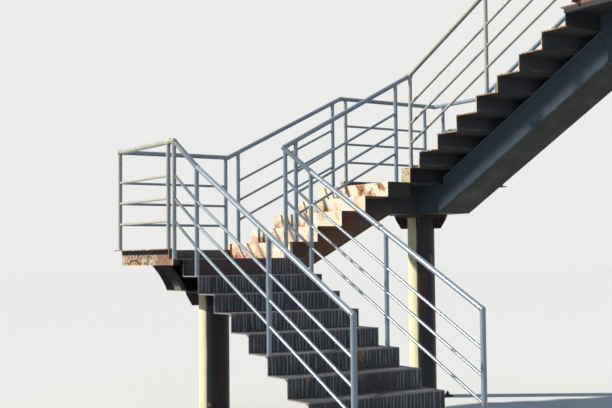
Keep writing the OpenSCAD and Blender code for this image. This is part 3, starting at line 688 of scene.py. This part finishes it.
# Raised lozenges of the chequer plate on risers and treads, in the grid that the paint follows.
FLIGHTS = (("a", in_a, RISERS_A, XA), ("b", in_b, RISERS_B, YB), ("c", in_c, RISERS_C, XA))
GRIDS = {"a": (-1, 0, a_y(1)), "b": (1, 0, Z1 + XB1), "c": (1, XC, Z2 - YC1)}
for flight, place, count, half in FLIGHTS:
    turn, centre, start = GRIDS[flight]
    wide = (centre - half, centre + half)
    plate = Detail()
    for k in range(1, count):
        u, z = (k - 1) * GOING, k * RISER
        plate.cheques(wide, (start + u + z - RISER, start + u + z),
                      lambda a, b, h: place(u - h, turn * (a - centre), b - start - u))
        plate.cheques(wide, (start + u + z, start + u + z + GOING),
                      lambda a, b, h: place(b - start - z, turn * (a - centre), z + h))
    plate.done("cheques_flight_" + flight, finishes["step_" + flight], False)
deck_patches = {
    1: (((-XA - 0.03, XB1), (Z1 - YB, Z1 + EDGE_F - 0.02), lambda a, b, h: vec(a, b - Z1, Z1 + h)),
        ((-XA, XA), (Z1 - RISER - YB, Z1 - YB), lambda a, b, h: vec(a, -YB - h, b + YB))),
    2: (((-YB, EDGE_F - 0.02), (Z2 + XL2, Z2 + EDGE_R - 0.02), lambda a, b, h: vec(b - Z2, a, Z2 + h)),
        ((-YB, YB), (Z2 - RISER + XL2, Z2 + XL2), lambda a, b, h: vec(XL2 - h, a, b - XL2))),
    3: (((EDGE_L3 + 0.02, EDGE_R - 0.02), (Z3 - YL3, Z3 - YEND), lambda a, b, h: vec(a, Z3 - b, Z3 + h)),
        ((XC0, XC1), (Z3 - RISER - YL3, Z3 - YL3), lambda a, b, h: vec(a, YL3 + h, b + YL3))),
}
for i, patches in deck_patches.items():
    plate = Detail()
    for patch in patches:
        plate.cheques(*patch)
    plate.done("cheques_deck_%d" % i, finishes["deck_%d" % i], False)

# Welds along the inner corners between treads and risers, over and under the plate.
HALF_BOX = BOX_W / 2
OFF = 0.001  # from the plates that a bead joins to its middle
STEP_BEAD, SEAT_BEAD, BOX_BEAD, MITRE_BEAD, JOINT_BEAD = 0.0036, 0.0055, 0.0028, 0.0024, 0.006
for flight, place, count, half in FLIGHTS:
    work = Detail()
    for k in range(1, count):
        u, z = k * GOING, k * RISER
        inner = 0.006 if k < count - 1 else 0.012
        work.across(place, u - OFF, z + OFF, -half + inner, half - inner, STEP_BEAD, 0.009)
        for v0, v1 in ((-half + 0.02, -HALF_BOX - 0.01), (HALF_BOX + 0.01, half - 0.02)):
            work.across(place, u + PLATE + OFF, z - 2 * OFF, v0, v1, STEP_BEAD)
    work.done("step_welds_" + flight, weld_cream if flight == "b" else weld_dark)

# Seats of the folds on the box stringers.
for flight, place, count, half in FLIGHTS:
    work = Detail()
    for k in range(1, count) if flight == "a" else range(2, count + 1):
        u, z = (k - 1) * GOING + PLATE, (k - 1) * RISER - PLATE
        for p in ((u + 2 * OFF, z + SEAT + OFF), (u - SEAT / SLOPE - PLATE, z)):
            if k > 1 or p[1] > 0:
                work.across(place, *p, -HALF_BOX - 0.003, HALF_BOX + 0.003, SEAT_BEAD)
    work.done("seat_welds_" + flight, weld_dark)

# Long seams and mitres of the boxes as (u, z) in the flight frames, then the butt joints between boxes.
SEAM = 0.014
LAST_A = (RISERS_A - 1) * GOING
FOOT_U = PLATE + (FOOT_PLATE + PLATE - SEAT) / SLOPE


def top_seam(u):
    return u, SLOPE * (u - PLATE) - PLATE + SEAT - SEAM


def box_lines(start, rise, count, depth, far):
    """Low seam, top seam and mitres of a box that leaves one landing and runs on under the next."""
    last, level = (count - 1) * GOING, rise - depth
    return ([(start, -GIRDER + SEAM), (under(-GIRDER) - 0.004, -GIRDER + SEAM),
             (under(level) - 0.004, level + SEAM), (far, level + SEAM)],
            [top_seam(INSET + 0.03), top_seam(last)],
            [[(under(-GIRDER), -GIRDER + 0.002), (INSET + 0.01, -PLATE - 0.03)],
             [(under(level), level + 0.002), (last + PLATE, rise - RISER - 0.03)]])


level_a = Z1 - GIRDER
lines = {
    "a": ([(under(FOOT_PLATE + SEAM) - 0.02, FOOT_PLATE + SEAM * 0.5), (under(level_a), level_a + SEAM),
           (LAST_A + YB - HALF_BOX, level_a + SEAM)],
          [(FOOT_U + 0.06, FOOT_PLATE + 0.012), top_seam(LAST_A)],
          [[(under(level_a), level_a + 0.002), (under(level_a) - 0.10, Z1 - PLATE - 0.02)]]),
    "b": box_lines(HAUNCH_IN - EDGE_L - XB1 + HAUNCH_LEN, Z2 - Z1, RISERS_B, GIRDER, XC - HALF_BOX - XB1),
    "c": box_lines(HAUNCH_IN + YC1 - EDGE_F + HAUNCH_LEN, Z3 - Z2, RISERS_C, GIRDER_TOP,
                   YC1 - YEND - HAUNCH_IN - HAUNCH_LEN),
}
for flight, place, count, half in FLIGHTS:
    work = Detail()
    low, high, mitres = lines[flight]
    for v in (-HALF_BOX, HALF_BOX):
        for line, bead in [(low, BOX_BEAD), (high, BOX_BEAD)] + [(mitre, MITRE_BEAD) for mitre in mitres]:
            work.seam([place(u, v, z) for u, z in line], bead, 0.45, 0.010)
    work.done("box_seams_" + flight, weld_dark)
for i, z, ends, slot in ((1, Z1, ((-HALF_BOX, -HALF_BOX), (HALF_BOX, -HALF_BOX)), "stringer_a_steel"),
                         (2, Z2, ((XC - HALF_BOX, -HALF_BOX), (XC - HALF_BOX, HALF_BOX)), "stringer_b_steel")):
    work = Detail()
    for x, y in ends:
        work.seam([vec(x, y, z - PLATE - 0.004), vec(x, y, z - GIRDER)], JOINT_BEAD)
    work.seam([vec(x, y, z - GIRDER) for x, y in ends], JOINT_BEAD)
    work.done("joint_welds_%d" % i, weld_dark)

# Columns: welds at the base, at the head and along its gussets, and the anchor bolts.
GUSSET_BEAD, BASE_BEAD, HEAD_BEAD, GIRDER_BEAD = 0.0045, 0.0065, 0.006, 0.005
ANCHOR_D, FOOT_BOLT_D, FOOT_BOLT_IN = 0.024, 0.020, 0.100
columns = (((0, 0), Z1 - GIRDER), ((XC, 0), Z2 - GIRDER), ((XC, YCOL3), Z3 - GIRDER_TOP))
for i, ((x, y), top) in enumerate(columns, 1):
    work = Detail()
    work.ring(vec(x, y, BASE_T + OFF), UP, COLUMN_D / 2 + 2 * OFF, BASE_BEAD)
    work.ring(vec(x, y, top - HEAD_T - OFF), UP, COLUMN_D / 2 + 2 * OFF, HEAD_BEAD)
    for a in range(45, 360, 90):
        out = vec(math.cos(math.radians(a)), math.sin(math.radians(a)), 0)
        aside = vec(-out.y, out.x, 0)
        for s in (-1, 1):
            root = vec(x, y, top - HEAD_T) + aside * s * (GUSSET_T / 2 + OFF)
            wall = root + out * (COLUMN_D / 2 - OFF)
            work.seam([wall - vec(0, 0, GUSSET_H - 0.004), wall - vec(0, 0, 0.004)], GUSSET_BEAD)
            toe = root + out * (HEAD_W / math.sqrt(2) - 0.018)
            work.seam([root + out * (COLUMN_D / 2 + 0.008), toe], GUSSET_BEAD)
    h = HEAD_W / 2
    for s in (-1, 1):
        for_x, for_y = ((-h + 0.01, h - 0.01), (s * h, s * h)) if i == 1 else ((s * h, s * h), (-h + 0.01, h - 0.01))
        work.seam([vec(x + dx, y + dy, top) for dx, dy in zip(for_x, for_y)], GIRDER_BEAD)
    work.done("column_welds_%d" % i, weld_dark)
    work = Detail()
    for sx, sy in ((-1, -1), (-1, 1), (1, -1), (1, 1)):
        work.bolt(vec(x + sx * PITCH / 2, y + sy * PITCH / 2, BASE_T), ANCHOR_D)
    work.done("anchor_bolts_%d" % i, steel_grey, False)
work = Detail()
for u in (FOOT_BOLT_IN, under(FOOT_PLATE) - FOOT_BOLT_IN + PLATE):
    for s in (-1, 1):
        work.bolt(in_a(u, s * (HALF_BOX + FOOT_MARGIN / 2), FOOT_PLATE), FOOT_BOLT_D)
work.done("foot_bolts", steel_grey, False)
work = Detail()
for s in (-1, 1):
    work.seam([in_a(u, s * HALF_BOX, FOOT_PLATE + OFF) for u in (FOOT_U, under(FOOT_PLATE))], SEAT_BEAD)
work.done("foot_welds", weld_dark)

# Kerbs: tack welds inside the foot of the web, and the seam between the web and the edge beam.
TACK, TACK_PITCH, TACK_BEAD, WEB_BEAD = 0.045, 0.160, 0.0045, 0.0022
KERB3_START = YL3 - 0.190


def kerb_welds(i, level, jobs):
    """jobs are (whether tacked, points in plan...)."""
    work = Detail()
    for tacked, *points in jobs:
        path = [vec(*p, level + OFF if tacked else level) for p in points]
        if tacked:
            a, b = path
            n = max(1, int((b - a).length // TACK_PITCH))
            d = (b - a).normalized()
            for j in range(n):
                p = a + (b - a) * ((j + 0.5) / n)
                work.seam([p - d * TACK / 2, p + d * TACK / 2], TACK_BEAD)
        else:
            work.seam(path, WEB_BEAD, pitch=0.010)
    work.done("kerb_welds_%d" % i, weld_cream)


web_l, web_f, web_r = -EDGE_L + KERB_T, EDGE_F - KERB_T, EDGE_R - KERB_T
kerb1_y, kerb1_x, kerb2_y = -YB + KERB_GAP, XB1 - KERB_T, -YB + KERB_GAP_R
kerb_welds(1, Z1, [(True, (web_l + OFF, kerb1_y), (web_l + OFF, web_f)),
                   (True, (web_l, web_f - OFF), (kerb1_x, web_f - OFF)),
                   (False, (-EDGE_L, kerb1_y), (-EDGE_L, EDGE_F)), (False, (-EDGE_L, EDGE_F), (kerb1_x, EDGE_F))])
kerb_welds(2, Z2, [(True, (web_r - OFF, kerb2_y), (web_r - OFF, web_f)),
                   (True, (XC0 + 0.03, web_f - OFF), (web_r, web_f - OFF)),
                   (False, (EDGE_R, kerb2_y), (EDGE_R, EDGE_F), (XC0 + 0.02, EDGE_F))])
kerb_welds(3, Z3, [job for x, s in ((EDGE_L3, 1), (EDGE_R, -1)) for job in (
    (True, (x + s * (KERB_T + OFF), YEND), (x + s * (KERB_T + OFF), KERB3_START)),
    (False, (x, YEND + 0.004), (x, KERB3_START)))])


# Railings: posts as (x, y, foot, lift), with the same panels and bends as in the CAD.
def a_posts(x, back):
    """Three posts; its lift puts the middle one's top on the line between the others."""
    first, top = (x, a_y(1) + NEWEL_BACK, RISER, 0), (x, a_y(9) + BACK, 9 * RISER, 0)
    y, foot = a_y(5) + back, 5 * RISER
    t = (y - first[1]) / (top[1] - first[1])
    return [first, (x, y, foot, first[2] * (1 - t) + top[2] * t - foot), top]


def b_posts(y, start, arrive, lift):
    """Two posts, at distances past the first and the last riser; lift gives a post's lift for its distance."""
    return [(b_x(1) + start, y, Z1 + RISER, lift(start)), (XL2 + arrive, y, Z2, lift(arrive))]


def c_posts(x):
    return [(x, c_y(k) - BACK, Z2 + k * RISER, 0) for k in (1, 5)] + [(x, YL3 - BACK, Z3, 0)]


def at(p, h):
    return vec(p[0], p[1], p[2] + p[3] + h)


def tops(posts):
    return [at(p, RAIL_H) for p in posts]


def meet(p, q, axis, value):
    """Where the top rail between two posts comes to a value along an axis."""
    a, b = tops((p, q))
    return a.lerp(b, (value - a[axis]) / (b[axis] - a[axis]))


POST_BEAD, CAP_BEAD, MID_BEAD, FAINT_BEAD, SLEEVE_BEAD = 0.0052, 0.0044, 0.0034, 0.0015, 0.0036
CORNER_1, CORNER_2, POST_IN = 0.155, 0.160, 0.045  # posts from the bend, from the corner and from a kerb's end
near_y, post_x, kerb_1z, kerb_2z, kerb_3z = -YB + NEWEL_IN, XB1 - RAIL_IN, Z1 + KERB, Z2 + KERB, Z3 + KERB
pa_l = a_posts(-XA + RAIL_IN, BACK_LEFT) + [(-RAIL_L, -YB + 0.035, Z1, KERB)]
pa_r = a_posts(XA - RAIL_IN, BACK) + [(post_x, near_y, Z1, KERB)]
p1_l = [(-RAIL_L, -YB + CORNER_1, kerb_1z, 0), (-RAIL_L, RAIL_F, kerb_1z, 0)]
p1_f = [(-RAIL_L, RAIL_F, kerb_1z, 0), (post_x, RAIL_F, kerb_1z, 0)]
pb_n = b_posts(near_y, START_B, ARRIVE_B, lambda back: LIFT + (back - BACK) * SLOPE)
pb_f = b_posts(RAIL_F, BACK, ARRIVE_B + 0.025, lambda back: 0)
p2_f = [(XC0 + 0.065, RAIL_F, kerb_2z, -DIP), (RAIL_R - CORNER_2, RAIL_F, kerb_2z, -DIP)]
p2_r = [(RAIL_R, RAIL_F - CORNER_2, kerb_2z, -DIP), (RAIL_R, -YB + KERB_GAP_R + POST_IN, kerb_2z, -DIP)]
pc_n, pc_f = c_posts(XC0 + RAIL_IN), c_posts(XC1 - RAIL_IN)
p3_l, p3_r = ([(x, KERB3_START - POST_IN, kerb_3z, 0), (x, YEND + POST_IN, kerb_3z, 0)] for x in (RAIL_L3, RAIL_R))
panels = {"a_left": pa_l, "a_right": pa_r, "1_left": p1_l, "1_far": p1_f, "b_near": pb_n, "b_far": pb_f,
          "2_far": p2_f, "2_right": p2_r, "c_near": pc_n, "c_far": pc_f, "3_left": p3_l, "3_right": p3_r}
for name, posts in panels.items():
    work = Detail()
    for i, p in enumerate(posts):
        newel = i == 0 and name.startswith("a_")
        r = (TOP_D if newel else POST_D) / 2
        if name != "1_far" or i:  # the corner post of landing 1 has its welds in 1_left
            work.ring(vec(p[0], p[1], p[2] + OFF), UP, r + OFF, POST_BEAD, 0.5)
            if not newel:
                work.ring(at(p, RAIL_H) - vec(0, 0, TOP_D / 2 - 0.002), UP, r, CAP_BEAD, 0.5)
    for p, q in zip(posts, posts[1:]):
        for m in range(3):
            a, b = at(p, MID_LOW + m * MID_PITCH), at(q, MID_LOW + m * MID_PITCH)
            d = (b - a).normalized()
            flat = math.hypot(d.x, d.y)
            for end, s in ((a, 1), (b, -1)):
                work.ring(end + d * s * (POST_D / 2 - OFF) / flat, d, MID_D / 2, MID_BEAD, 0.6, 5)
    work.done("rail_welds_" + name, weld_rail)

# The two long top rails, bend by bend, and the sleeves a little past some of the bends.
ELBOW = 0.016  # from a bend to the beads on both sides of it
top_1, top_2 = kerb_1z + RAIL_H, kerb_2z + RAIL_H - DIP
j2 = meet(*pb_n, 0, pc_n[0][0])
outer = [*tops((pa_l[0], pa_l[2], pa_l[3], p1_l[1])), meet(*pb_f, 2, top_1), meet(*pb_f, 2, top_2),
         vec(RAIL_R, RAIL_F, top_2), vec(RAIL_R, -YB + CORNER_1, top_2), meet(*pc_f[:2], 2, top_2),
         *tops((pc_f[2], *p3_r))]
inner = [*tops((pa_r[0], pa_r[2])), meet(*pb_n, 0, post_x - 0.022), j2, *tops((pc_n[2], *p3_l))]
work = Detail()
for path in (outer, inner):
    bends = [vec(path[0].x, path[0].y, 0)] + path
    for a, p, b in zip(bends, bends[1:], bends[2:]):
        for other in (a, b):
            d = (other - p).normalized()
            work.ring(p + d * ELBOW, d, TOP_D / 2, FAINT_BEAD if p.z > kerb_3z + RAIL_H - 0.01 else MID_BEAD, 0.6)
for p, q in [outer[i:i + 2] for i in (2, 3, 4, 5, 6, 8, 9)] + [inner[2:4], inner[3:1:-1], inner[4:6]]:
    d = (q - p).normalized()
    work.ring(p + d * PAST, d, TOP_D / 2 + 0.0005, SLEEVE_BEAD, 0.6)
for k in range(5):
    d = vec(0.3 * rng.random(), -1, 0.4 - 0.5 * rng.random()).normalized()
    work.ring(j2 + vec(0.004, -0.012, 0.004) * (k - 2), d, TOP_D / 2 + OFF, 0.0065, 0.8)
work.done("elbow_welds", weld_rail)

# A short sleeve splices the right top rail of the lowest flight.
SPLICE_Y, HALF_SPLICE = -1.935, 0.035
work = Detail()
mid, d, r = meet(pa_r[0], pa_r[2], 1, SPLICE_Y), (inner[1] - inner[0]).normalized(), TOP_D / 2
work.turned(mid - d * HALF_SPLICE, d, [(r, 0), (r + 0.0035, 0.001), (r + 0.004, 0.012), (r + 0.0035, 0.035),
                                       (r + 0.004, 0.058), (r + 0.0035, 0.069), (r, 0.070)], 32)
for s in (-1, 1):
    work.ring(mid + d * (HALF_SPLICE + OFF) * s, d, r + OFF, 0.005, 0.6)
work.done("rail_splice", weld_rail)


# Rust scale: ragged flakes on the left ends of the upper treads, on the middle flight's steps and on a kerb.
def some(low, more, power=1):
    return low + more * rng.random() ** power


work = Detail()
for k in range(1, RISERS_C):
    z = Z2 + k * RISER
    for i in range(46):
        y = c_y(k) - some(0, GOING)
        work.flake(vec(XC0 + some(0.010, 0.030, 2), y, z), UP, some(0.004, 0.008), some(0.0015, 0.0025))
    for i in range(30):
        y = c_y(k) - some(0, GOING)
        work.flake(vec(XC0, y, z - some(0.0015, 0.007)), LEFT, some(0.003, 0.005), some(0.001, 0.002))
work.done("rust_scale_c", scale_rust)
work = Detail()
for k in range(1, RISERS_B):
    foot = Z1 + (k - 1) * RISER
    for i in range(40):
        y = YB - some(0.02, 0.9, 1.6)
        work.flake(vec(b_x(k), y, foot + some(0.006, 0.05, 2)), LEFT, some(0.003, 0.006), some(0.001, 0.0015))
work.done("rust_scale_b", scale_rust)
work = Detail()
for i in range(160):
    y = kerb1_y + some(0.02, EDGE_F - kerb1_y - 0.04)
    work.flake(vec(-EDGE_L, y, Z1 - EDGE_DEPTH + some(0.008, KERB + EDGE_DEPTH - 0.02)), LEFT,
               some(0.003, 0.007), some(0.0008, 0.0014))
work.done("rust_scale_kerb", scale_rust)

# ---------------------------------------------------------------- studio
WHITE_BACK, FLOOR, MIDDLE = (0.835, 0.835, 0.825), 150, vec(1.2, -1.6, 2.2)


def seen_directly(nodes, links):
    """1 for rays that show a thing straight, in a mirror or through glass, 0 for those that light things."""
    path = nodes.new("ShaderNodeLightPath")
    out = path.outputs["Is Camera Ray"]
    for name in ("Is Glossy Ray", "Is Transmission Ray"):
        node = nodes.new("ShaderNodeMath")
        node.operation = "MAXIMUM"
        links.new(out, node.inputs[0])
        links.new(path.outputs[name], node.inputs[1])
        out = node.outputs[0]
    return out


floor_mesh = bpy.data.meshes.new("floor")
corners = [(x * FLOOR, y * FLOOR, 0) for x, y in ((-1, -1), (1, -1), (1, 1), (-1, 1))]
floor_mesh.from_pydata(corners, [], [(0, 1, 2, 3)])
floor = shown("floor", floor_mesh)
plain = Surface("floor_finish")
tone = plain.mix(seen_directly(plain.tree.nodes, plain.tree.links), (0.30, 0.30, 0.30), (0.93, 0.955, 1.0))
floor_mesh.materials.append(plain.finish(tone, 0.95, 0.0, 0.001, 0.0, 0.0))

world = bpy.data.worlds.new("studio")
scene.world = world
world.use_nodes = True
nodes, links = world.node_tree.nodes, world.node_tree.links
nodes.clear()
fill, backdrop, choose = (nodes.new("ShaderNode" + kind) for kind in ("Background", "Background", "MixShader"))
for node, colour, strength in ((fill, (0.62, 0.80, 1.0), 0.24), (backdrop, WHITE_BACK, 1.0)):
    node.inputs["Color"].default_value, node.inputs["Strength"].default_value = (*colour, 1), strength
for i, out in enumerate((seen_directly(nodes, links), fill.outputs[0], backdrop.outputs[0])):
    links.new(out, choose.inputs[i])
links.new(choose.outputs[0], nodes.new("ShaderNodeOutputWorld").inputs["Surface"])


def light(name, kind, source, away, **settings):
    """A light that shines on the stair's middle from a direction and distance."""
    lamp = bpy.data.lights.new(name, kind)
    for key, value in settings.items():
        setattr(lamp, key, value)
    obj = shown(name, lamp)
    obj.location = MIDDLE + source.normalized() * away
    obj.rotation_mode = "QUATERNION"
    obj.rotation_quaternion = source.to_track_quat("Z", "Y")


light("key_light", "SUN", vec(-0.78, 0.52, 0.56), 0, energy=4.5, angle=math.radians(2.0), color=(1.0, 0.92, 0.77))
light("fill_light", "AREA", vec(-0.35, -1.0, 0.35), 16, shape="SQUARE", size=8.0, energy=230, color=(0.78, 0.89, 1.0))
scene.view_settings.view_transform = "Standard"
scene.view_settings.look = "None"
